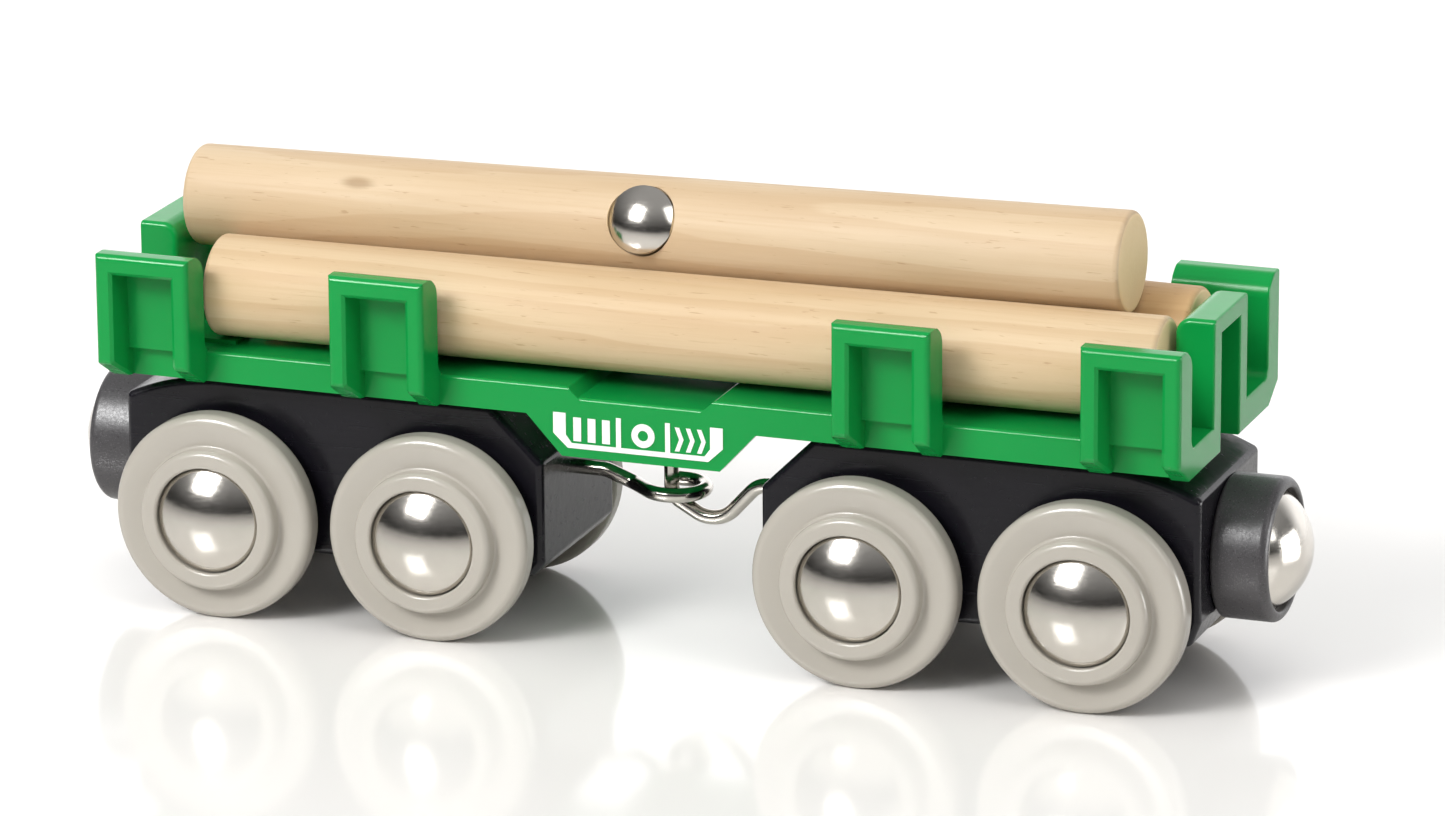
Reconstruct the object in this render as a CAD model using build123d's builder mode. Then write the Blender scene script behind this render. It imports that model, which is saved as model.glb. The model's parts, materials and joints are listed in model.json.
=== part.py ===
from build123d import *
from math import asin, cos, radians, sin, sqrt
import os

# Wooden-railway log wagon: a moulded deck on two swivelling four-wheel bogies,
# linked by a wire hook and eye, with a load of three loose logs.
# Millimetres, +X along the wagon towards the hook bogie, +Z up, floor at Z = 0.

# ---------------------------------------------------------------- driving dimensions
bogie_pivot_x = 33.7          # swivel pins, either side of the middle
axle_spacing = 23.0           # between the two axles of one bogie
wheel_radius = 10.5
wire_diameter = 1.5
wire_hold = 5.5               # length of wire glued into a block
running_gap = 0.05            # radial clearance of a shaft turning in a hole
drill_point = 1.0             # how much deeper a blind hole is than what goes in it

# Deck moulding
deck_length = 111.8
deck_width = 25.0
deck_bottom = 24.3
deck_top = 27.3
recess_top_half = 7.6         # shallow step across the middle of the deck, its ends sloping
recess_floor_half = 6.5
recess_depth = 1.0
deck_edge = 0.35
end_edge = 0.2
skirt_top_half = 11.9         # skirt below the middle, half lengths at top and bottom
skirt_bottom_half = 8.2
skirt_bottom = 20.3
skirt_thickness = 1.6
boss_radius = 3.0
boss_top = 28.5
root_overlap = 0.5            # how far an added rib or boss reaches into the deck

# Stakes, four on each side
stake_centres = (-50.9, -26.0, 26.0, 50.9)
stake_length = 10.0
stake_inner_y = 12.75
stake_outer_y = 16.7
stake_foot_rise = 2.1         # the foot slopes in to the deck over this height
stake_top = 37.5
stake_crest = 2.3             # width of the flat top; it falls inwards from there
stake_crest_fall = 1.2
stake_root_radius = 1.2
stake_pocket_length = 6.4
stake_pocket_depth = 3.2
pocket_edge = 0.3
stake_top_member = 2.0
stake_edge = 0.6
stake_crest_edge = 1.8
stake_skin = 1.5              # how far in from the deck's side the stake's profile starts
stake_foot_step = 0.7         # width of the flat under its foot
pocket_draft = 6              # degrees
pocket_overcut = 6.0          # how far below the deck's top the upper pocket runs

# End stops
stop_inner_x = 51.9
stop_half_width = 5.5
stop_slot_half = 3.1
stop_top = 38.0
stop_wall = 1.6
stop_top_bar = 1.8
stop_corner = 1.6             # radius of its inner top corner, seen from the side
stop_edge = 0.5

# Cross ribs that the lower logs rest on
seat_centres = (-47.0, -26.0, 26.0, 47.0)
seat_length = 6.0
seat_half_width = 9.5
seat_top = 27.75

# Bogie block
block_half_length = 22.3
block_half_width = 9.8
block_bottom = 6.5
block_top = 23.7
block_end_top = 21.3          # the top slopes down to this at the coupler end
block_edge = 0.7
block_slope = 10.5            # length of that slope
outer_chamfer = (1.0, 2.5)    # along and up, at the bottom of the coupler end
inner_chamfer = (1.2, 1.4)    # the same at the link end
shoulder_cut = (5.5, 5.4)     # and at the top of the link end
link_height = 15.3
coupler_height = 14.2

# Swivel screws, up from under the blocks into the deck
swivel_radius = 1.9
swivel_tip_z = 27.8
swivel_head_z = 13.2
swivel_head_height = 2.0
swivel_head_radius = 3.6
swivel_head_edge = 0.9
screw_slot = 0.8
counterbore_radius = 4.2
counterbore_depth = 9.0
washer_radius = 5.0
washer_thickness = 0.5

# Wheels and axles
axle_radius = 1.5
hub_radius = 7.15
hub_draft = 0.1               # how much wider the hub is at its foot
hub_face_y = 15.25
hub_edge = 0.6
hub_foot = 0.25
disc_inner_y = 10.75
disc_outer_y = 13.95
disc_dish = 0.35              # the disc is this much thinner at the hub
disc_edge = 0.9
recess_radius = 5.45
recess_floor_y = 12.45
wheel_inner_y = 10.0
spacer_radius = 4.0           # of the boss that keeps the disc off the block
recess_lip = 0.25
cap_radius = 5.32
cap_roll = 0.3                # rounding where the cap turns down at its rim
cap_inner_y = 13.55
cap_rim_y = 14.75
cap_apex_y = 16.65
cap_back_edge = 0.15
axle_half_length = 14.75
axle_end_edge = 0.25

# Coupler
cup_radius = 7.1
cup_front_x = 61.7
cup_wall = 0.75
cup_lip = 0.9                 # length of the lip that holds the dome in
dome_base_x = 61.3
dome_radius = 5.55
dome_apex_x = 64.2
flange_length = 0.35
coupler_screw_radius = 1.2
coupler_screw_length = 8.0
coupler_screw_head = 2.6
coupler_screw_point = 1.4     # length of the screw's point
coupler_head_rim = 0.5        # height of its head at the rim, and in the middle
coupler_head_height = 0.9
cup_floor = 1.4
magnet_gap = 0.2              # between the screw's head and the magnet
magnet_radius = 5.8
cup_rim_edge = 0.8
cup_lip_edge = 0.25
cup_back_edge = 0.4
lip_gap = 0.45                # between the dome and the cup's lip
flange_setback = 0.9          # from the dome's base back to its flange

# Logs
log_radius = 5.07
log_length = 97.6
log_gap = 0.1                 # between a log and what it rests on
lower_log_x = 2.4             # the load lies slightly off centre and askew
upper_log_x = -2.75
lower_spread_rear = 7.45      # half distance between the lower logs at their rear ends
lower_spread_front = 5.5
log_edge = 0.6
stud_hole_radius = 3.5
stud_hole_depth = 1.7
stud_radius = 3.38
stud_rim_depth = 0.3          # below the log's surface
stud_rise = 1.32
stud_shank_radius = 1.0
stud_shank_depth = 5.3
stud_shank_gap = 0.2          # left below the shank
stud_tilt = 24.0              # the upper log's stud looks this far above level

os.makedirs("parts", exist_ok=True)
axle_z = wheel_radius
deck_half = deck_length / 2
side_y = deck_width / 2


# ---------------------------------------------------------------- stake, used eight times
# Made for the +Y side at X = 0, from its end profile, with a pocket in its outer face.
with BuildPart() as stake:
    with BuildSketch(Plane.YZ):
        with BuildLine():
            Polyline(
                (side_y - stake_skin, deck_bottom),
                (side_y + stake_foot_step, deck_bottom),
                (stake_outer_y, deck_bottom + stake_foot_rise),
                (stake_outer_y, stake_top),
                (stake_outer_y - stake_crest, stake_top),
                (stake_inner_y, stake_top - stake_crest_fall),
                (stake_inner_y, deck_top + stake_root_radius),
            )
            root_y = stake_inner_y - stake_root_radius
            RadiusArc((stake_inner_y, deck_top + stake_root_radius), (root_y, deck_top), stake_root_radius)
            Polyline((root_y, deck_top), (side_y - stake_skin, deck_top), (side_y - stake_skin, deck_bottom))
        make_face()
    extrude(amount=stake_length / 2, both=True)
    outer_face = stake.faces().sort_by(Axis.Y)[-1]
    fillet(outer_face.edges(), radius=stake_edge)
    crest = stake.edges().filter_by(Axis.X).filter_by_position(
        Axis.Z, stake_top - stake_crest_fall - 0.2, stake_top)
    fillet(crest.sort_by(Axis.Y)[:2], radius=stake_crest_edge)
    pocket_top = stake_top - stake_top_member
    pocket_face = Plane(origin=(0, stake_outer_y, 0), x_dir=(-1, 0, 0), z_dir=(0, 1, 0))
    with BuildSketch(pocket_face):
        with Locations((0, (pocket_top + deck_top - pocket_overcut) / 2)):
            Rectangle(stake_pocket_length, pocket_top - deck_top + pocket_overcut)
    extrude(amount=-stake_pocket_depth, taper=pocket_draft, mode=Mode.SUBTRACT)
    with BuildSketch(pocket_face):
        with Locations((0, (deck_top + deck_bottom - 1) / 2)):
            Rectangle(stake_pocket_length - 0.6, deck_top - deck_bottom + 1)
    extrude(amount=-(stake_outer_y - side_y), mode=Mode.SUBTRACT)
    outer_face = stake.faces().filter_by(Axis.Y).sort_by(Axis.Y)[-1]
    pocket_half = stake_pocket_length / 2
    chamfer(outer_face.edges().filter_by_position(Axis.X, -pocket_half, pocket_half), length=pocket_edge)


# ---------------------------------------------------------------- end stop, used twice
# Made for the +X end: an upright channel, open outwards and downwards.
with BuildPart() as end_stop:
    with BuildSketch(Plane.XZ.offset(-stop_half_width)) as stop_profile:
        with BuildLine():
            Polyline(
                (stop_inner_x, deck_top - 1),
                (deck_half, deck_top - 1),
                (deck_half, stop_top),
                (stop_inner_x, stop_top),
                close=True,
            )
        make_face()
        fillet(stop_profile.vertices().sort_by(Axis.Y)[-2:].sort_by(Axis.X)[0], radius=stop_corner)
    extrude(amount=2 * stop_half_width)
    fillet(end_stop.edges().filter_by(Axis.X).sort_by(Axis.Z)[-2:], radius=stop_edge)


# ---------------------------------------------------------------- deck frame
with BuildPart() as deck_frame:
    with BuildSketch(Plane.XY.offset(deck_bottom)):
        Rectangle(deck_length, deck_width)
    extrude(amount=deck_top - deck_bottom)
    with BuildSketch(Plane.XZ.offset(-side_y)):
        with BuildLine():
            Polyline(
                (-recess_top_half, deck_top),
                (-recess_floor_half, deck_top - recess_depth),
                (recess_floor_half, deck_top - recess_depth),
                (recess_top_half, deck_top),
                close=True,
            )
        make_face()
    extrude(amount=deck_width, mode=Mode.SUBTRACT)
    long_edges = deck_frame.edges().filter_by(Axis.X).filter_by_position(Axis.Z, deck_top - 1.1, deck_top)
    recess_lips = deck_frame.edges().filter_by(Axis.Y).filter_by_position(
        Axis.X, -recess_top_half, recess_top_half).filter_by_position(Axis.Z, deck_top, deck_top)
    fillet(long_edges + recess_lips, radius=deck_edge)
    for side in (-1, 1):
        with BuildSketch(Plane.XZ.offset(-side * side_y)):
            with BuildLine():
                Polyline(
                    (-skirt_top_half, deck_bottom),
                    (-skirt_bottom_half, skirt_bottom),
                    (skirt_bottom_half, skirt_bottom),
                    (skirt_top_half, deck_bottom),
                    (skirt_top_half, deck_bottom + 1),
                    (-skirt_top_half, deck_bottom + 1),
                    close=True,
                )
            make_face()
        extrude(amount=side * skirt_thickness)
    for centre_x in stake_centres:
        add(stake.part.moved(Location((centre_x, 0, 0))))
        add(stake.part.moved(Location((centre_x, 0, 0), (0, 0, 180))))
    for centre_x in seat_centres:
        with BuildSketch(Plane.XY.offset(deck_top - root_overlap)):
            with Locations((centre_x, 0)):
                Rectangle(seat_length, 2 * seat_half_width)
        extrude(amount=seat_top - deck_top + root_overlap)
    add(end_stop.part)
    add(end_stop.part.moved(Location((0, 0, 0), (0, 0, 180))))
    for end in (-1, 1):
        with BuildSketch(Plane.XY.offset(deck_bottom - 1)):
            with Locations((end * (stop_inner_x + stop_wall + 5), 0)):
                Rectangle(10, 2 * stop_slot_half)
        extrude(amount=stop_top - stop_top_bar - deck_bottom + 1, mode=Mode.SUBTRACT)
        with BuildSketch(Plane.XY.offset(deck_top - root_overlap)):
            with Locations((end * bogie_pivot_x, 0)):
                Circle(boss_radius)
        extrude(amount=boss_top - deck_top + root_overlap)
        with BuildSketch(Plane.XY.offset(deck_bottom)):
            with Locations((end * bogie_pivot_x, 0)):
                Circle(swivel_radius)
        extrude(amount=swivel_tip_z + 0.1 - deck_bottom, mode=Mode.SUBTRACT)
    end_faces = deck_frame.faces().filter_by(Axis.X).group_by(Axis.X)
    fillet((end_faces[0] + end_faces[-1]).edges(), radius=end_edge)
deck_frame.part.label = "deck_frame"
export_step(deck_frame.part, "parts/deck_frame.step")


# ---------------------------------------------------------------- printed panels on the skirts
# A plain outlined panel of three cells: bars, a disc and chevrons, with no lettering.
print_thickness = 0.08
panel_x = -0.25
panel_half_top = 8.8
panel_half_bottom = 7.3
panel_top = 24.7
panel_knee = 22.6
panel_bottom = 21.2
panel_frame = 1.3             # width of the outline's upright ends
panel_sill = 0.5              # and of its bottom line and the dividers
mark_z = 23.15                # middle height of the marks in the three cells
mark_half = 1.2
bar_width = 0.8
bar_pitch = 1.5
chevron_half = 0.45
chevron_pitch = 1.15
divider_places = (-2.0, 3.1)
first_bar_x = -6.3
disc_mark_x = 0.55
disc_mark_hole = 0.54
first_chevron_x = 4.3
for side_name, side in (("near", -1), ("far", 1)):
    with BuildPart() as side_print:
        face_y = side * side_y
        panel_plane = Plane(origin=(-side * panel_x, face_y, 0), x_dir=(-side, 0, 0), z_dir=(0, side, 0))
        with BuildSketch(panel_plane):
            with BuildLine():
                Polyline(
                    (-panel_half_top, panel_top),
                    (-panel_half_top, panel_knee),
                    (-panel_half_bottom, panel_bottom),
                    (panel_half_bottom, panel_bottom),
                    (panel_half_top, panel_knee),
                    (panel_half_top, panel_top),
                    close=True,
                )
            make_face()
            with BuildLine(mode=Mode.PRIVATE) as window_outline:
                Polyline(
                    (-panel_half_top + panel_frame, panel_top + 0.1),
                    (-panel_half_top + panel_frame, panel_knee - 0.1),
                    (-panel_half_bottom + 0.4, panel_bottom + panel_sill),
                    (panel_half_bottom - 0.4, panel_bottom + panel_sill),
                    (panel_half_top - panel_frame, panel_knee - 0.1),
                    (panel_half_top - panel_frame, panel_top + 0.1),
                    close=True,
                )
            make_face(window_outline.edges(), mode=Mode.SUBTRACT)
            for divider_x in divider_places:
                with Locations((divider_x, (panel_top + panel_bottom) / 2)):
                    Rectangle(panel_sill, panel_top - panel_bottom)
            for bar in range(3):
                with Locations((first_bar_x + bar * bar_pitch, mark_z)):
                    Rectangle(bar_width, 2 * mark_half)
            with Locations((disc_mark_x, mark_z)):
                Circle(mark_half)
                Circle(disc_mark_hole, mode=Mode.SUBTRACT)
            for chevron in range(3):
                with BuildLine(mode=Mode.PRIVATE) as arrow:
                    heel_x = first_chevron_x + chevron * chevron_pitch
                    Polyline(
                        (heel_x - chevron_half, mark_z + mark_half),
                        (heel_x, mark_z + mark_half),
                        (heel_x + chevron_half, mark_z),
                        (heel_x, mark_z - mark_half),
                        (heel_x - chevron_half, mark_z - mark_half),
                        (heel_x, mark_z),
                        close=True,
                    )
                make_face(arrow.edges())
        extrude(amount=print_thickness)
    side_print.part.label = f"{side_name}_side_print"
    export_step(side_print.part, f"parts/{side_name}_side_print.step")


# ---------------------------------------------------------------- swivel pins and washers
for end_name, end in (("rear", -1), ("front", 1)):
    pivot_x = end * bogie_pivot_x
    with BuildPart() as swivel_screw:
        with BuildSketch(Plane.XY.offset(swivel_head_z + swivel_head_height)):
            with Locations((pivot_x, 0)):
                Circle(swivel_radius)
        extrude(amount=swivel_tip_z - swivel_head_z - swivel_head_height)
        with BuildSketch(Plane.XY.offset(swivel_head_z)):
            with Locations((pivot_x, 0)):
                Circle(swivel_head_radius)
        extrude(amount=swivel_head_height)
        fillet(swivel_screw.edges().filter_by(GeomType.CIRCLE).sort_by(Axis.Z)[0], radius=swivel_head_edge)
        with BuildSketch(Plane.XY.offset(swivel_head_z)):
            with Locations((pivot_x, 0)):
                Rectangle(swivel_head_radius, screw_slot)
                Rectangle(screw_slot, swivel_head_radius)
        extrude(amount=swivel_head_height / 2, mode=Mode.SUBTRACT)
    swivel_screw.part.label = f"{end_name}_swivel_screw"
    export_step(swivel_screw.part, f"parts/{end_name}_swivel_screw.step")

    with BuildPart() as swivel_washer:
        with BuildSketch(Plane.XY.offset(deck_bottom - washer_thickness)):
            with Locations((pivot_x, 0)):
                Circle(washer_radius)
                Circle(swivel_radius + running_gap, mode=Mode.SUBTRACT)
        extrude(amount=washer_thickness)
    swivel_washer.part.label = f"{end_name}_swivel_washer"
    export_step(swivel_washer.part, f"parts/{end_name}_swivel_washer.step")


# ---------------------------------------------------------------- bogie block
# Made as the front block; the rear one is the same block turned half round.
with BuildPart() as bogie_block:
    inner_x = bogie_pivot_x - block_half_length
    outer_x = bogie_pivot_x + block_half_length
    slope_x = outer_x - block_slope
    with BuildSketch(Plane.XZ.offset(-block_half_width)) as block_profile:
        with BuildLine():
            Polyline(
                (outer_x, block_end_top),
                (outer_x, block_bottom + outer_chamfer[1]),
                (outer_x - outer_chamfer[0], block_bottom),
                (inner_x + inner_chamfer[0], block_bottom),
                (inner_x, block_bottom + inner_chamfer[1]),
                (inner_x, block_top - shoulder_cut[1]),
                (inner_x + shoulder_cut[0], block_top),
                (slope_x, block_top),
            )
            TangentArc((slope_x, block_top), (outer_x, block_end_top), tangent=(1, 0))
        make_face()
        corners = block_profile.vertices().sort_by_distance((slope_x, block_top))[1:]
        fillet(corners, radius=block_edge)
    extrude(amount=2 * block_half_width)
    fillet(bogie_block.faces().filter_by(Axis.Y).edges(), radius=block_edge)
    for axle_x in (bogie_pivot_x - axle_spacing / 2, bogie_pivot_x + axle_spacing / 2):
        with BuildSketch(Plane.XZ.offset(-block_half_width)):
            with Locations((axle_x, axle_z)):
                Circle(axle_radius)
        extrude(amount=2 * block_half_width, mode=Mode.SUBTRACT)
    with Locations((bogie_pivot_x, 0, block_bottom)):
        for bore_radius, bore_depth in (
            (swivel_radius + running_gap, block_top),
            (counterbore_radius, counterbore_depth),
        ):
            upwards = (Align.CENTER, Align.CENTER, Align.MIN)
            Cylinder(bore_radius, bore_depth, align=upwards, mode=Mode.SUBTRACT)
    with BuildSketch(Plane.YZ.offset(outer_x)):
        with Locations((0, coupler_height)):
            Circle(coupler_screw_radius)
    extrude(amount=-coupler_screw_length - drill_point, mode=Mode.SUBTRACT)
    with BuildSketch(Plane.YZ.offset(inner_x)):
        with Locations((0, link_height)):
            Circle(wire_diameter / 2)
    extrude(amount=wire_hold + drill_point, mode=Mode.SUBTRACT)

half_turn = Location((0, 0, 0), (0, 0, 180))
for end_name, placing in (("front", Location()), ("rear", half_turn)):
    block = bogie_block.part.moved(placing)
    block.label = f"{end_name}_bogie_block"
    export_step(block, f"parts/{end_name}_bogie_block.step")


# ---------------------------------------------------------------- axles, wheels and caps
# One axle with its two wheels and caps, made about the Y axis line at X = 0.
with BuildPart() as axle:
    with BuildSketch(Plane.XZ.offset(-axle_half_length)):
        with Locations((0, axle_z)):
            Circle(axle_radius)
    extrude(amount=2 * axle_half_length)
    chamfer(axle.edges().filter_by(GeomType.CIRCLE), length=axle_end_edge)

wheel_plane = Plane(origin=(0, 0, axle_z), x_dir=(0, 0, 1), z_dir=(-1, 0, 0))
wheel_axis = Axis((0, 0, axle_z), (0, 1, 0))
with BuildPart() as wheel:
    with BuildSketch(wheel_plane) as wheel_section:
        with BuildLine():
            Polyline(
                (axle_radius + running_gap, wheel_inner_y),
                (spacer_radius, wheel_inner_y),
                (spacer_radius, disc_inner_y),
                (wheel_radius, disc_inner_y),
                (wheel_radius, disc_outer_y),
                (hub_radius + hub_draft, disc_outer_y - disc_dish),
                (hub_radius, hub_face_y),
                (recess_radius, hub_face_y),
                (recess_radius, recess_floor_y),
                (axle_radius + running_gap, recess_floor_y),
                close=True,
            )
        make_face()
        section_corners = wheel_section.vertices()
        fillet(section_corners.sort_by_distance((wheel_radius, disc_inner_y))[0], radius=disc_edge)
        section_corners = wheel_section.vertices()
        fillet(section_corners.sort_by_distance((wheel_radius, disc_outer_y))[0], radius=disc_edge)
        section_corners = wheel_section.vertices()
        fillet(section_corners.sort_by_distance((hub_radius, disc_outer_y))[0], radius=hub_foot)
        section_corners = wheel_section.vertices()
        fillet(section_corners.sort_by_distance((hub_radius, hub_face_y))[0], radius=hub_edge)
        section_corners = wheel_section.vertices()
        fillet(section_corners.sort_by_distance((recess_radius, hub_face_y))[0], radius=recess_lip)
    revolve(axis=wheel_axis)

with BuildPart() as hub_cap:
    with BuildSketch(wheel_plane) as cap_section:
        with BuildLine():
            Polyline(
                (0, cap_inner_y),
                (cap_radius - cap_back_edge, cap_inner_y),
                (cap_radius, cap_inner_y + cap_back_edge),
                (cap_radius, cap_rim_y),
            )
            cap_rise = cap_apex_y - cap_rim_y
            dome_sphere = (cap_radius**2 + cap_rise**2) / (2 * cap_rise)
            half_angle = asin(cap_radius / dome_sphere) / 2
            crown_mid = (dome_sphere * sin(half_angle), cap_apex_y - dome_sphere * (1 - cos(half_angle)))
            ThreePointArc((cap_radius, cap_rim_y), crown_mid, (0, cap_apex_y))
            Line((0, cap_apex_y), (0, cap_inner_y))
        make_face()
        fillet(cap_section.vertices().sort_by_distance((cap_radius, cap_rim_y))[0], radius=cap_roll)
    revolve(axis=wheel_axis)
    with BuildSketch(Plane.XZ.offset(-cap_inner_y)):
        with Locations((0, axle_z)):
            Circle(axle_radius)
    extrude(amount=-(axle_half_length - cap_inner_y), mode=Mode.SUBTRACT)

for end_name, end in (("rear", -1), ("front", 1)):
    for axle_name, step in (("outer", 1), ("inner", -1)):
        axle_x = end * (bogie_pivot_x + step * axle_spacing / 2)
        placed_axle = axle.part.moved(Location((axle_x, 0, 0)))
        placed_axle.label = f"{end_name}_{axle_name}_axle"
        export_step(placed_axle, f"parts/{end_name}_{axle_name}_axle.step")
        for side_name, turn in (("far", 0), ("near", 180)):
            placing = Location((axle_x, 0, 0), (0, 0, turn))
            placed_wheel = wheel.part.moved(placing)
            placed_wheel.label = f"{end_name}_{axle_name}_{side_name}_wheel"
            export_step(placed_wheel, f"parts/{end_name}_{axle_name}_{side_name}_wheel.step")
            placed_cap = hub_cap.part.moved(placing)
            placed_cap.label = f"{end_name}_{axle_name}_{side_name}_cap"
            export_step(placed_cap, f"parts/{end_name}_{axle_name}_{side_name}_cap.step")


# ---------------------------------------------------------------- magnetic couplers
# Turned parts about the coupler axis, made for the front end.
coupler_plane = Plane(origin=(0, 0, coupler_height), x_dir=(1, 0, 0), z_dir=(0, -1, 0))
coupler_axis = Axis((0, 0, coupler_height), (1, 0, 0))
block_end_x = bogie_pivot_x + block_half_length
screw_seat_x = block_end_x + cup_floor
magnet_back_x = screw_seat_x + coupler_head_height + magnet_gap
flange_x = dome_base_x - flange_setback
cavity_radius = cup_radius - cup_wall
flange_radius = cavity_radius - 0.1
lip_radius = dome_radius + lip_gap

with BuildPart() as coupler_cup:
    with BuildSketch(coupler_plane) as cup_section:
        with BuildLine():
            Polyline(
                (block_end_x, coupler_screw_radius + 0.1),
                (block_end_x, cup_radius),
                (cup_front_x, cup_radius),
                (cup_front_x, lip_radius),
                (cup_front_x - cup_lip, lip_radius),
                (cup_front_x - cup_lip, cavity_radius),
                (screw_seat_x, cavity_radius),
                (screw_seat_x, coupler_screw_radius + 0.1),
                close=True,
            )
        make_face()
        rim_corner = cup_section.vertices().sort_by_distance((cup_front_x, cup_radius))[0]
        fillet(rim_corner, radius=cup_rim_edge)
        lip_corner = cup_section.vertices().sort_by_distance((cup_front_x, lip_radius))[0]
        fillet(lip_corner, radius=cup_lip_edge)
        back_corner = cup_section.vertices().sort_by_distance((block_end_x, cup_radius))[0]
        fillet(back_corner, radius=cup_back_edge)
    revolve(axis=coupler_axis)

with BuildPart() as coupler_screw:
    with BuildSketch(coupler_plane):
        with BuildLine():
            Polyline(
                (block_end_x - coupler_screw_length, 0),
                (block_end_x - coupler_screw_length + coupler_screw_point, coupler_screw_radius),
                (screw_seat_x, coupler_screw_radius),
                (screw_seat_x, coupler_screw_head),
                (screw_seat_x + coupler_head_rim, coupler_screw_head),
                (screw_seat_x + coupler_head_height, coupler_screw_head - 1),
                (screw_seat_x + coupler_head_height, 0),
                close=True,
            )
        make_face()
    revolve(axis=coupler_axis)

with BuildPart() as coupler_magnet:
    with BuildSketch(coupler_plane):
        with Locations(((magnet_back_x + flange_x) / 2, magnet_radius / 2)):
            Rectangle(flange_x - magnet_back_x, magnet_radius)
    revolve(axis=coupler_axis)

with BuildPart() as coupler_dome:
    with BuildSketch(coupler_plane):
        with BuildLine():
            dome_rise = dome_apex_x - dome_base_x
            sphere = (dome_radius**2 + dome_rise**2) / (2 * dome_rise)
            half_angle = asin(dome_radius / sphere) / 2
            dome_mid = (dome_apex_x - sphere * (1 - cos(half_angle)), sphere * sin(half_angle))
            Polyline(
                (flange_x, 0),
                (flange_x, flange_radius),
                (flange_x + flange_length, flange_radius),
                (flange_x + flange_length, dome_radius),
                (dome_base_x, dome_radius),
            )
            ThreePointArc((dome_base_x, dome_radius), dome_mid, (dome_apex_x, 0))
            Line((dome_apex_x, 0), (flange_x, 0))
        make_face()
    revolve(axis=coupler_axis)

for end_name, placing in (("front", Location()), ("rear", half_turn)):
    for piece_name, piece in (
        ("coupler_cup", coupler_cup),
        ("coupler_screw", coupler_screw),
        ("coupler_magnet", coupler_magnet),
        ("coupler_dome", coupler_dome),
    ):
        placed = piece.part.moved(placing)
        placed.label = f"{end_name}_{piece_name}"
        export_step(placed, f"parts/{end_name}_{piece_name}.step")


# ---------------------------------------------------------------- wire link between the bogies
# The rear bogie carries a level eye, bent back on itself; the front bogie's hook drops
# and comes up through it.
block_inner_x = bogie_pivot_x - block_half_length
eye_height = 14.2
eye_radius = 2.9              # of the round bend, on the wire's middle line
eye_x = -1.0
eye_bend = eye_radius - 0.04  # leaves a short straight between one bend and the next
with BuildPart() as link_eye:
    with BuildLine():
        eye_route = FilletPolyline(
            (-block_inner_x - wire_hold, 0, link_height),
            (-8.4, 0, link_height),
            (-5.4, 0, eye_height),
            (eye_x - 1.25, -eye_radius, eye_height),
            (eye_x + eye_radius, -eye_radius, eye_height),
            (eye_x + eye_radius, eye_radius, eye_height),
            (eye_x - 1.2, eye_radius, eye_height),
            radius=(2.6, 1.5, eye_bend, eye_bend, eye_bend),
        )
    with BuildSketch(Plane(origin=eye_route @ 0, z_dir=eye_route % 0)):
        Circle(wire_diameter / 2)
    sweep()
link_eye.part.label = "link_eye"
export_step(link_eye.part, "parts/link_eye.step")

hook_tip_x = -1.5
hook_tip_z = 17.6
hook_low = 11.45
with BuildPart() as link_hook:
    with BuildLine():
        hook_route = FilletPolyline(
            (block_inner_x + wire_hold, 0, link_height),
            (7.6, 0, link_height),
            (4.1, 0, hook_low),
            (1.8, 0, hook_low),
            (hook_tip_x, 0, 13.3),
            (hook_tip_x, 0, hook_tip_z),
            radius=(2.4, 3.1, 3.1, 1.8),
        )
    with BuildSketch(Plane(origin=hook_route @ 0, z_dir=hook_route % 0)):
        Circle(wire_diameter / 2)
    sweep()
link_hook.part.label = "link_hook"
export_step(link_hook.part, "parts/link_hook.step")


# ---------------------------------------------------------------- logs and their steel studs
# A log is made along X at the origin, with its stud hole on the +Y side, turned about its
# own length to where the stud should look, and then laid from its rear to its front end.
with BuildPart() as log:
    Cylinder(log_radius, log_length, rotation=(0, 90, 0))
    fillet(log.edges().filter_by(GeomType.CIRCLE), radius=log_edge)
    for hole_radius, hole_depth in (
        (stud_hole_radius, stud_hole_depth),
        (stud_shank_radius, stud_shank_depth + stud_shank_gap),
    ):
        with BuildSketch(Plane.XZ.offset(-log_radius)):
            Circle(hole_radius)
        extrude(amount=hole_depth, mode=Mode.SUBTRACT)

with BuildPart() as stud:
    with BuildSketch(Plane.XY):
        with BuildLine():
            stud_base = log_radius - stud_hole_depth
            stud_rim = log_radius - stud_rim_depth
            stud_crown = stud_rim + stud_rise
            stud_sphere = (stud_radius**2 + stud_rise**2) / (2 * stud_rise)
            half_angle = asin(stud_radius / stud_sphere) / 2
            stud_mid = (stud_sphere * sin(half_angle), stud_crown - stud_sphere * (1 - cos(half_angle)))
            Polyline(
                (0, log_radius - stud_shank_depth),
                (stud_shank_radius, log_radius - stud_shank_depth),
                (stud_shank_radius, stud_base),
                (stud_radius, stud_base),
                (stud_radius, stud_rim),
            )
            ThreePointArc((stud_radius, stud_rim), stud_mid, (0, stud_crown))
            Line((0, stud_crown), (0, log_radius - stud_shank_depth))
        make_face()
    revolve(axis=Axis.Y)


def lay_log(rear, front, stud_direction):
    """The placing of a log from its rear end to its front end, and of its stud."""
    along = (Vector(*front) - Vector(*rear)).normalized()
    middle = (Vector(*front) + Vector(*rear)) * 0.5
    towards = Vector(*stud_direction)
    outward = (towards - along * towards.dot(along)).normalized()
    return Plane(origin=middle, x_dir=along, z_dir=along.cross(outward)).location


def log_ends(centre_x):
    """The X of a log's rear and front ends."""
    return centre_x - log_length / 2, centre_x + log_length / 2


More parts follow.
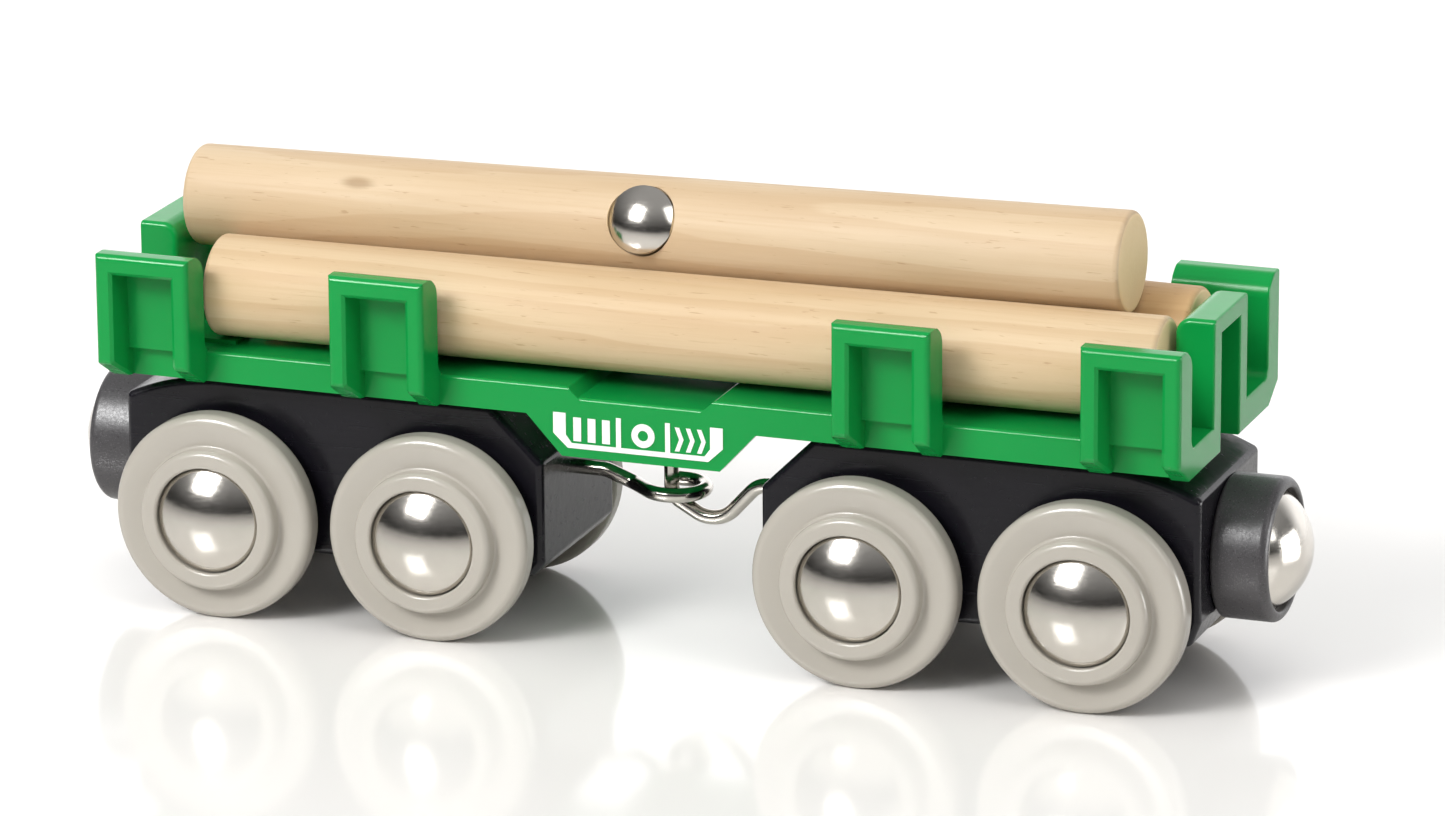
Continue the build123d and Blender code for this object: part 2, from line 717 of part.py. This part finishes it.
rear_x, front_x = log_ends(lower_log_x)
spread_slope = (lower_spread_front - lower_spread_rear) / (front_x - rear_x)
lower_z = seat_top + log_radius + log_gap / 2
centre_distance = 2 * log_radius + log_gap
upper_rear_x, upper_front_x = log_ends(upper_log_x)
upper_heights = []
for contact_x in (max(upper_rear_x, rear_x), min(upper_front_x, front_x)):
    spread = lower_spread_rear + spread_slope * (contact_x - rear_x)
    upper_heights.append((contact_x, lower_z + sqrt(centre_distance**2 - spread**2)))
(low_x, low_z), (high_x, high_z) = upper_heights
upper_slope = (high_z - low_z) / (high_x - low_x)
upper_rear_z = low_z + upper_slope * (upper_rear_x - low_x)
upper_front_z = low_z + upper_slope * (upper_front_x - low_x)

tilt = radians(stud_tilt)
log_places = (
    (
        "near",
        lay_log(
            (rear_x, -lower_spread_rear, lower_z),
            (front_x, -lower_spread_front, lower_z),
            (0, cos(tilt), -sin(tilt)),
        ),
    ),
    (
        "far",
        lay_log(
            (rear_x, lower_spread_rear, lower_z),
            (front_x, lower_spread_front, lower_z),
            (0, -cos(tilt), -sin(tilt)),
        ),
    ),
    (
        "upper",
        lay_log(
            (upper_rear_x, 0, upper_rear_z),
            (upper_front_x, 0, upper_front_z),
            (0, -cos(tilt), sin(tilt)),
        ),
    ),
)
for log_name, place in log_places:
    placed_log = log.part.moved(place)
    placed_log.label = f"{log_name}_log"
    export_step(placed_log, f"parts/{log_name}_log.step")
    placed_stud = stud.part.moved(place)
    placed_stud.label = f"{log_name}_log_stud"
    export_step(placed_stud, f"parts/{log_name}_log_stud.step")
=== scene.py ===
import json
from math import asin, cos, pi, radians, sin, tau

import bmesh
import bpy
from mathutils import Matrix, Vector


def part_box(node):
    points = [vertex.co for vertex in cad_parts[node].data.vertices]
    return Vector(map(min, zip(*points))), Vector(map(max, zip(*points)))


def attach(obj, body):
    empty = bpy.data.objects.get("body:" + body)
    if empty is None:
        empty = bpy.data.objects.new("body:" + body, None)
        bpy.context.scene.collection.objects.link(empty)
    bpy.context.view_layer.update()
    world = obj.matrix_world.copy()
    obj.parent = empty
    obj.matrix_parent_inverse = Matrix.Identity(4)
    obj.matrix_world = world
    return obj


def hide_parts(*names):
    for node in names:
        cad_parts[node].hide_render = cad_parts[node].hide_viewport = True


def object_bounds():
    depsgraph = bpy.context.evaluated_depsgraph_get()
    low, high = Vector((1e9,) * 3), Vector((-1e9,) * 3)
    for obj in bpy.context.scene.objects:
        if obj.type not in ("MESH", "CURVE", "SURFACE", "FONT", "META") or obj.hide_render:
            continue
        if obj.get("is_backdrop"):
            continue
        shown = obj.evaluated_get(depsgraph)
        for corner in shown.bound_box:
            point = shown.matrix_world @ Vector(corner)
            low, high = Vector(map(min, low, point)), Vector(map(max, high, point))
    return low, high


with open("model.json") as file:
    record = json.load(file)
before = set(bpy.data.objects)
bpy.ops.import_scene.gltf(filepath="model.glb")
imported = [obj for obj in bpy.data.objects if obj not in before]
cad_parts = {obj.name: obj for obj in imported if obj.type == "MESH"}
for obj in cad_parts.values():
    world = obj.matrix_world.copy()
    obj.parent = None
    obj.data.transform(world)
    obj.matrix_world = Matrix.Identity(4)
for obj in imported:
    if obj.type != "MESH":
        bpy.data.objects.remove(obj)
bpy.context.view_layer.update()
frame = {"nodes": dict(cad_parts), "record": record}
MM = 0.001


# ---------------------------------------------------------------- camera
CAMERA_AZIMUTH = radians(20.32)
CAMERA_ELEVATION = radians(16.64)
CAMERA_ROLL = radians(-0.36)
CAMERA_DISTANCE = 0.768
CAMERA_TARGET = Vector((0.0039, 0, 0.0228))
CAMERA_LENS = 194.5
SENSOR_WIDTH = 36
CLIP_START = 0.01

back = Vector((
    sin(CAMERA_AZIMUTH) * cos(CAMERA_ELEVATION),
    -cos(CAMERA_AZIMUTH) * cos(CAMERA_ELEVATION),
    sin(CAMERA_ELEVATION),
))
level_right = Vector((cos(CAMERA_AZIMUTH), sin(CAMERA_AZIMUTH), 0))
level_up = back.cross(level_right)
right = level_right * cos(CAMERA_ROLL) + level_up * sin(CAMERA_ROLL)
up = back.cross(right)
camera = bpy.data.objects.new("camera", bpy.data.cameras.new("camera"))
camera.data.lens = CAMERA_LENS
camera.data.sensor_width = SENSOR_WIDTH
camera.data.clip_start = CLIP_START
camera.matrix_world = Matrix.Translation(CAMERA_TARGET + back * CAMERA_DISTANCE) @ Matrix(
    (right, up, back)).transposed().to_4x4()
bpy.context.scene.collection.objects.link(camera)
bpy.context.scene.camera = camera


# ---------------------------------------------------------------- material building blocks
# Sockets of a colour Mix node, which share their names with its sockets for other types.
MIX_FACTOR, MIX_FIRST, MIX_SECOND, MIX_RESULT = 0, 6, 7, 2


class Finish:
    """A Principled material and short ways to add procedural nodes to it."""

    def __init__(self, name, **sockets):
        self.material = bpy.data.materials.new(name)
        self.material.use_nodes = True
        self.tree = self.material.node_tree
        self.shader = self.tree.nodes["Principled BSDF"]
        for socket, value in sockets.items():
            self.shader.inputs[socket.replace("_", " ")].default_value = value

    def node(self, kind, inputs=None, **properties):
        made = self.tree.nodes.new(kind)
        for name, value in properties.items():
            setattr(made, name, value)
        for key, value in (inputs or {}).items():
            if isinstance(value, bpy.types.NodeSocket):
                self.tree.links.new(value, made.inputs[key])
            else:
                made.inputs[key].default_value = value
        return made

    def place(self, scale=(1, 1, 1), offset=(0, 0, 0), turn=(0, 0, 0), source="Object"):
        """Coordinates in millimetres, or in the piece's own box with source Generated."""
        unit = 1 / MM if source == "Object" else 1
        coordinates = self.node("ShaderNodeTexCoord").outputs[source]
        moved = self.node("ShaderNodeMapping", {
            "Vector": coordinates,
            "Location": offset,
            "Rotation": turn,
            "Scale": [unit * s for s in scale],
        })
        return moved.outputs["Vector"]

    def noise(self, vector, scale, detail=3.0, roughness=0.5, distortion=0.0):
        made = self.node("ShaderNodeTexNoise", {
            "Vector": vector,
            "Scale": scale,
            "Detail": detail,
            "Roughness": roughness,
            "Distortion": distortion,
        })
        return made.outputs["Fac"]

    def math(self, operation, first, second=0.0, third=0.0):
        made = self.node("ShaderNodeMath", {0: first, 1: second, 2: third}, operation=operation)
        return made.outputs[0]

    def vector_math(self, operation, first, second=(0, 0, 0)):
        made = self.node("ShaderNodeVectorMath", {0: first, 1: second}, operation=operation)
        return made.outputs["Value" if operation in ("LENGTH", "DISTANCE") else "Vector"]

    def spread(self, value, low, high, out_low=0.0, out_high=1.0):
        """Maps low..high of a value to out_low..out_high, held at both ends."""
        made = self.node("ShaderNodeMapRange", {
            "Value": value,
            "From Min": low,
            "From Max": high,
            "To Min": out_low,
            "To Max": out_high,
        }, interpolation_type="SMOOTHSTEP")
        return made.outputs["Result"]

    def mix(self, factor, first, second, blend="MIX"):
        made = self.node("ShaderNodeMix", data_type="RGBA", blend_type=blend)
        for index, value in ((MIX_FACTOR, factor), (MIX_FIRST, first), (MIX_SECOND, second)):
            socket = made.inputs[index]
            if isinstance(value, bpy.types.NodeSocket):
                self.tree.links.new(value, socket)
            elif isinstance(value, float):
                socket.default_value = value
            else:
                socket.default_value = (*value, 1)
        return made.outputs[MIX_RESULT]

    def bump(self, height, depth_mm, strength=1.0, under=None):
        inputs = {"Height": height, "Distance": depth_mm * MM, "Strength": strength}
        if under is not None:
            inputs["Normal"] = under
        return self.node("ShaderNodeBump", inputs).outputs["Normal"]

    def connect(self, **sockets):
        for socket, value in sockets.items():
            self.tree.links.new(value, self.shader.inputs[socket.replace("_", " ")])
        return self.material


# ---------------------------------------------------------------- materials
def green_plastic():
    made = Finish("green_plastic", IOR=1.5, Specular_IOR_Level=0.22)
    where = made.place()
    clouds = made.noise(where, 0.06, 2)
    color = made.mix(clouds, (0.0035, 0.252, 0.046), (0.0055, 0.300, 0.060))
    peel = made.noise(where, 0.9, 2)
    grain = made.noise(where, 9.0, 3)
    smears = made.noise(made.place(scale=(0.25, 1, 1)), 0.5, 4, 0.6)
    normal = made.bump(peel, 0.03, 0.35)
    normal = made.bump(grain, 0.004, 0.5, under=normal)
    return made.connect(
        Base_Color=color, Roughness=made.spread(smears, 0.35, 0.75, 0.16, 0.27), Normal=normal)


def black_lacquer():
    """Gloss lacquer on wood, with the grain telegraphing through."""
    made = Finish("black_lacquer", IOR=1.5, Specular_IOR_Level=0.28)
    where = made.place()
    fibres = made.noise(made.place(scale=(0.05, 1.6, 1.6)), 1.0, 4, 0.6)
    peel = made.noise(where, 0.45, 2)
    dust = made.spread(made.noise(where, 3.0, 2), 0.68, 0.78)
    color = made.mix(dust, (0.0070, 0.0063, 0.0095), (0.016, 0.015, 0.019))
    normal = made.bump(fibres, 0.05, 0.30)
    normal = made.bump(peel, 0.08, 0.25, under=normal)
    return made.connect(
        Base_Color=color, Roughness=made.spread(fibres, 0.3, 0.8, 0.17, 0.30), Normal=normal)


def grey_plastic():
    """Satin wheel plastic with faint turning rings about each wheel's own middle."""
    made = Finish("grey_plastic", IOR=1.48)
    own = made.place(offset=(-0.5, 0, -0.5), source="Generated")
    radius = made.vector_math("LENGTH", made.vector_math("MULTIPLY", own, (1, 0, 1)))
    rings = made.noise(made.node("ShaderNodeCombineXYZ", {0: radius}).outputs[0], 60.0, 2)
    where = made.place()
    clouds = made.noise(where, 0.11, 3)
    color = made.mix(clouds, (0.400, 0.372, 0.325), (0.445, 0.415, 0.365))
    grain = made.noise(where, 5.0, 3)
    normal = made.bump(rings, 0.012, 0.4)
    normal = made.bump(grain, 0.006, 0.5, under=normal)
    return made.connect(
        Base_Color=color, Roughness=made.spread(grain, 0.3, 0.7, 0.17, 0.26), Normal=normal)


def dark_plastic():
    """Charcoal moulded plastic of the coupler cups, with a fine spark texture."""
    made = Finish("dark_plastic", IOR=1.5)
    where = made.place()
    grain = made.noise(where, 3.2, 4, 0.7)
    fleck = made.spread(made.noise(where, 8.0, 2), 0.58, 0.72)
    color = made.mix(fleck, (0.052, 0.049, 0.052), (0.120, 0.115, 0.120))
    return made.connect(
        Base_Color=color, Roughness=made.spread(grain, 0.3, 0.7, 0.26, 0.44),
        Normal=made.bump(grain, 0.03, 0.45))


def polished_steel():
    made = Finish("polished_steel", Metallic=1.0)
    where = made.place()
    clouds = made.noise(where, 0.5, 3)
    color = made.mix(clouds, (0.56, 0.53, 0.485), (0.66, 0.63, 0.58))
    swirl = made.noise(where, 1.1, 2)
    scratches = made.noise(made.place(scale=(0.6, 0.6, 6), turn=(0.4, 0.3, 0.2)), 2.0, 5, 0.7)
    normal = made.bump(swirl, 0.010, 0.35)
    normal = made.bump(scratches, 0.002, 0.4, under=normal)
    return made.connect(
        Base_Color=color, Roughness=made.spread(scratches, 0.35, 0.8, 0.14, 0.25), Normal=normal)


def drawn_wire():
    made = Finish("drawn_wire", Metallic=1.0)
    lines = made.noise(made.place(scale=(0.15, 3, 3)), 2.0, 4, 0.6)
    color = made.mix(lines, (0.52, 0.49, 0.45), (0.68, 0.65, 0.60))
    return made.connect(
        Base_Color=color, Roughness=made.spread(lines, 0.3, 0.8, 0.10, 0.24),
        Normal=made.bump(lines, 0.006, 0.4))


def magnet_steel():
    made = Finish("magnet_steel", Metallic=1.0)
    grain = made.noise(made.place(), 4.0, 4, 0.7)
    color = made.mix(grain, (0.20, 0.20, 0.21), (0.34, 0.34, 0.35))
    return made.connect(
        Base_Color=color, Roughness=made.spread(grain, 0.3, 0.7, 0.35, 0.55),
        Normal=made.bump(grain, 0.02, 0.5))


def white_print():
    made = Finish("white_print", IOR=1.45)
    wear = made.noise(made.place(), 2.4, 5, 0.65)
    color = made.mix(made.spread(wear, 0.62, 0.78), (0.86, 0.88, 0.84), (0.52, 0.66, 0.54))
    return made.connect(
        Base_Color=color, Roughness=made.spread(wear, 0.3, 0.7, 0.30, 0.45),
        Normal=made.bump(wear, 0.01, 0.3))


def nylon():
    made = Finish("nylon", IOR=1.5)
    grain = made.noise(made.place(), 2.5, 3)
    color = made.mix(grain, (0.66, 0.64, 0.58), (0.74, 0.72, 0.66))
    return made.connect(
        Base_Color=color, Roughness=made.spread(grain, 0.3, 0.7, 0.42, 0.58),
        Normal=made.bump(grain, 0.01, 0.4))


RING_WIDTH = 2.3
RING_SWAY = 9.0
KNOT_STRETCH = (0.55, 1.3, 1.3)


def beech(name, offset, turn, tint, knot=None):
    """Sanded beech cut along X: growth rings, fibres, short ray flecks and a small knot."""
    made = Finish(name, IOR=1.46, Specular_IOR_Level=0.35)
    where = made.place(offset=offset, turn=turn)

    def stretched(scale):
        return made.vector_math("MULTIPLY", where, scale)

    def stained(under, mask, amount, color):
        return made.mix(made.math("MULTIPLY", mask, amount), under, color)

    along = stretched((0.02, 1, 1))
    sway = made.noise(stretched((0.012, 0.10, 0.10)), 1.0, 3)
    reach = made.vector_math("LENGTH", stretched((0.0, 1, 1)))
    ring_place = made.math("MULTIPLY_ADD", sway, RING_SWAY, reach)
    ring = made.math("FRACT", made.math("MULTIPLY", ring_place, 1 / RING_WIDTH))
    late_wood = made.math("MULTIPLY", made.spread(ring, 0.15, 0.92), made.spread(ring, 1.0, 0.93))
    fibres = made.noise(stretched((0.035, 2.4, 2.4)), 1.0, 6, 0.62)
    tone = made.noise(stretched((0.02, 0.16, 0.16)), 1.0, 3)
    flecks = made.noise(stretched((0.42, 3.6, 3.6)), 1.0, 2, 0.5, 0.3)
    fleck_mask = made.spread(flecks, 0.665, 0.735)
    pores = made.noise(made.vector_math("MULTIPLY", along, (12, 7, 7)), 1.0, 2)
    base = made.mix(made.spread(tone, 0.30, 0.70), (0.66, 0.515, 0.340), (0.585, 0.430, 0.260))
    base = stained(base, late_wood, 0.30, (0.47, 0.30, 0.155))
    base = stained(base, made.spread(fibres, 0.45, 0.80), 0.26, (0.50, 0.345, 0.195))
    base = stained(base, fleck_mask, 0.42, (0.36, 0.21, 0.10))
    base = stained(base, made.spread(pores, 0.66, 0.75), 0.20, (0.33, 0.19, 0.09))
    if knot is not None:
        squeezed = made.vector_math("MULTIPLY", made.place(), KNOT_STRETCH)
        knot_here = [part * scale for part, scale in zip(knot, KNOT_STRETCH)]
        distance = made.vector_math("DISTANCE", squeezed, knot_here)
        smudge = made.math("ADD", distance, made.math("MULTIPLY", fibres, 0.9))
        base = made.mix(made.spread(smudge, 1.75, 0.75, 0.0, 0.6), base, (0.27, 0.16, 0.065))
    # Faces across the grain get an end-grain colour that is also lightened: painted light standing in
    # for the light that falls on the log ends.
    facing = made.node("ShaderNodeSeparateXYZ", {
        0: made.node("ShaderNodeNewGeometry").outputs["True Normal"]}).outputs["X"]
    end_grain_and_painted_light = made.spread(made.math("ABSOLUTE", facing), 0.80, 0.97, 0.0, 0.85)
    base = made.mix(1.0, base, tint, blend="MULTIPLY")
    base = made.mix(end_grain_and_painted_light, base, (0.90, 0.685, 0.40))
    height = made.math("SUBTRACT", fibres, made.math("MULTIPLY", fleck_mask, 0.35))
    normal = made.bump(height, 0.05, 0.55)
    return made.connect(
        Base_Color=base, Roughness=made.spread(fibres, 0.3, 0.8, 0.50, 0.68), Normal=normal)


FINISHES = {
    "green_plastic": green_plastic(),
    "black_paint": black_lacquer(),
    "grey_plastic": grey_plastic(),
    "dark_plastic": dark_plastic(),
    "polished_steel": polished_steel(),
    "plain_steel": drawn_wire(),
    "magnet_steel": magnet_steel(),
    "white_print": white_print(),
    "nylon": nylon(),
}
# The far log is tinted for the warm shadow it lies in, so it looks darker in open light.
LOG_FINISHES = {
    "near_log": beech("beech_near", (30, 21, -12), (0.5, 0, 0), (0.96, 0.94, 0.90)),
    "far_log": beech("beech_far", (-40, -17, 16), (1.9, 0, 0), (0.85, 0.71, 0.54)),
    "upper_log": beech("beech_upper", (75, 24, 9), (2.8, 0, 0), (0.965, 0.965, 0.98),
                       knot=(-33.0, -3.9, 43.6)),
}
for entry in frame["record"]["subparts"]:
    piece = frame["nodes"][entry["node"]]
    finish = LOG_FINISHES.get(entry["node"]) or FINISHES[entry["material_slot"]]
    piece.data.materials.clear()
    piece.data.materials.append(finish)


# ---------------------------------------------------------------- polished domes
DOME_RINGS = 28
RIM_RINGS = 6
TURN_STEPS = 160
CAP_RISE = 1.9
CAP_ROLL = 0.3


def arc(center, radius, start, end, steps):
    """Points (radius, height) of an arc in a turned piece's profile, angles from the axis."""
    turns = [start + (end - start) * step / steps for step in range(steps + 1)]
    return [(center[0] + radius * sin(turn), center[1] + radius * cos(turn)) for turn in turns]


def domed_profile(radius, side, rise, roll):
    """From the crown of a dome, over its rolled rim, to the foot of its straight side."""
    sphere = (radius**2 + rise**2) / (2 * rise)
    rim_center = radius - roll
    rim_angle = asin(rim_center / (sphere - roll))
    rim_height = side + rise - sphere + (sphere - roll) * cos(rim_angle)
    crown = arc((0, side + rise - sphere), sphere, 0, rim_angle, DOME_RINGS)
    rim = arc((rim_center, rim_height), roll, rim_angle, pi / 2, RIM_RINGS)
    return crown + rim[1:] + [(radius, 0)]


def turned(name, node, body, outwards, profile, slot):
    """Turns a profile in millimetres about the middle of a CAD node's box, to stand for that node."""
    low, high = (Vector(corner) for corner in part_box(node))
    outwards = Vector(outwards)
    middle = (low + high) / 2
    depth = abs((high - low).dot(outwards))
    foot = middle - outwards * depth / 2
    across = Vector((0, 0, 1))
    along = outwards.cross(across)
    made = bmesh.new()
    rings = []
    for radius, height in profile:
        if radius == 0:
            rings.append([made.verts.new(foot + outwards * height * MM)])
            continue
        turns = [tau * step / TURN_STEPS for step in range(TURN_STEPS)]
        rings.append([
            made.verts.new(
                foot + outwards * height * MM + (across * cos(turn) + along * sin(turn)) * radius * MM)
            for turn in turns
        ])
    for inner, outer in zip(rings, rings[1:]):
        for step in range(TURN_STEPS):
            after = (step + 1) % TURN_STEPS
            if len(inner) == 1:
                made.faces.new((inner[0], outer[step], outer[after]))
            else:
                made.faces.new((inner[step], outer[step], outer[after], inner[after]))
    made.faces.new(rings[-1][::-1]).smooth = False
    for face in made.faces:
        face.smooth = len(face.verts) < 5
    made.normal_update()
    bmesh.ops.recalc_face_normals(made, faces=made.faces)
    mesh = bpy.data.meshes.new(name)
    made.to_mesh(mesh)
    made.free()
    mesh.materials.append(FINISHES[slot])
    piece = bpy.data.objects.new(name, mesh)
    bpy.context.scene.collection.objects.link(piece)
    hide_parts(node)
    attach(piece, body)


for end in ("front", "rear"):
    for axle in ("outer", "inner"):
        for side, outwards in (("near", (0, -1, 0)), ("far", (0, 1, 0))):
            node = f"{end}_{axle}_{side}_cap"
            low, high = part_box(node)
            cap_radius = (high[0] - low[0]) / 2 / MM
            cap_side = (high[1] - low[1]) / MM - CAP_RISE
            turned(f"{node}_turned", node, f"{end}_bogie", outwards,
                   domed_profile(cap_radius, cap_side, CAP_RISE, CAP_ROLL), "polished_steel")


# ---------------------------------------------------------------- floor, world and lights
FLOOR_HALF = 4.0
LIGHTS_AIM = Vector((0, 0, 0.02))
KEY = (-28, 38)               # azimuth and elevation of the three key lights
SKY_TINT = (0.99, 0.99, 1.0)
floor_mesh = bpy.data.meshes.new("floor")
floor_mesh.from_pydata(
    [(x * FLOOR_HALF, y * FLOOR_HALF, 0) for x, y in ((-1, -1), (1, -1), (1, 1), (-1, 1))],
    [], [(0, 1, 2, 3)])
floor = bpy.data.objects.new("floor", floor_mesh)
bpy.context.scene.collection.objects.link(floor)
floor_finish = Finish("floor", Base_Color=(0.87, 0.853, 0.828, 1), Roughness=0.10, IOR=1.6)
floor_mesh.materials.append(floor_finish.material)
floor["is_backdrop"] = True


def soft_box(name, azimuth, elevation, distance, width, height, power, glossy=True, diffuse=True):
    """A studio light that faces the wagon. Azimuth 0 is in front (-Y), positive to +X."""
    az, el = radians(azimuth), radians(elevation)
    towards = Vector((sin(az) * cos(el), -cos(az) * cos(el), sin(el)))
    light = bpy.data.lights.new(name, "AREA")
    light.shape = "RECTANGLE"
    light.size = width
    light.size_y = height
    light.energy = power
    lamp = bpy.data.objects.new(name, light)
    lamp.location = LIGHTS_AIM + towards * distance
    lamp.rotation_euler = towards.to_track_quat("Z", "Y").to_euler()
    lamp.visible_glossy = glossy
    lamp.visible_diffuse = diffuse
    bpy.context.scene.collection.objects.link(lamp)


# Two of these show only in reflections: key_glint and right_card.
soft_box("key_light", *KEY, 1.0, 0.50, 0.50, 6.4)
soft_box("key_core", *KEY, 0.98, 0.22, 0.22, 2.4)
soft_box("key_glint", *KEY, 0.96, 0.30, 0.30, 5.0, diffuse=False)
soft_box("side_light", 66, 35, 1.2, 0.36, 0.72, 2.6)
soft_box("right_card", 100, 6, 1.2, 0.70, 0.34, 9.0, diffuse=False)
soft_box("front_fill", 4, 24, 1.5, 1.4, 0.9, 1.6, glossy=False)
soft_box("top_light", 60, 78, 1.3, 1.0, 1.0, 4.7, glossy=False)
bpy.context.scene.view_settings.view_transform = "Standard"

# Dim in front near the horizon, brighter overhead, with a white wall behind the wagon.
world = bpy.data.worlds.new("studio")
world.use_nodes = True
sky_tree = world.node_tree
sky = sky_tree.nodes["Background"]
direction = sky_tree.nodes.new("ShaderNodeTexCoord")
split = sky_tree.nodes.new("ShaderNodeSeparateXYZ")
sky_tree.links.new(direction.outputs["Generated"], split.inputs[0])


def ramp(value, stops):
    """Greys by position along a value, given the sky's tint."""
    made = sky_tree.nodes.new("ShaderNodeValToRGB")
    elements = made.color_ramp.elements
    for index, (position, grey) in enumerate(stops):
        element = elements[index] if index < 2 else elements.new(position)
        element.position = position
        element.color = (*(grey * tint for tint in SKY_TINT), 1)
    sky_tree.links.new(value, made.inputs["Fac"])
    return made.outputs["Color"]


dome = ramp(split.outputs["Z"], ((0.10, 0.025), (0.90, 0.46)))
wall = ramp(split.outputs["Z"], ((0.30, 1.65), (0.75, 0.46)))
behind = ramp(split.outputs["Y"], ((0.40, 0.0), (0.75, 1.0)))
blend = sky_tree.nodes.new("ShaderNodeMix")
blend.data_type = "RGBA"
for index, value in ((MIX_FACTOR, behind), (MIX_FIRST, dome), (MIX_SECOND, wall)):
    sky_tree.links.new(value, blend.inputs[index])
sky_tree.links.new(blend.outputs[MIX_RESULT], sky.inputs["Color"])
sky.inputs["Strength"].default_value = 1.0
bpy.context.scene.world = world

low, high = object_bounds()
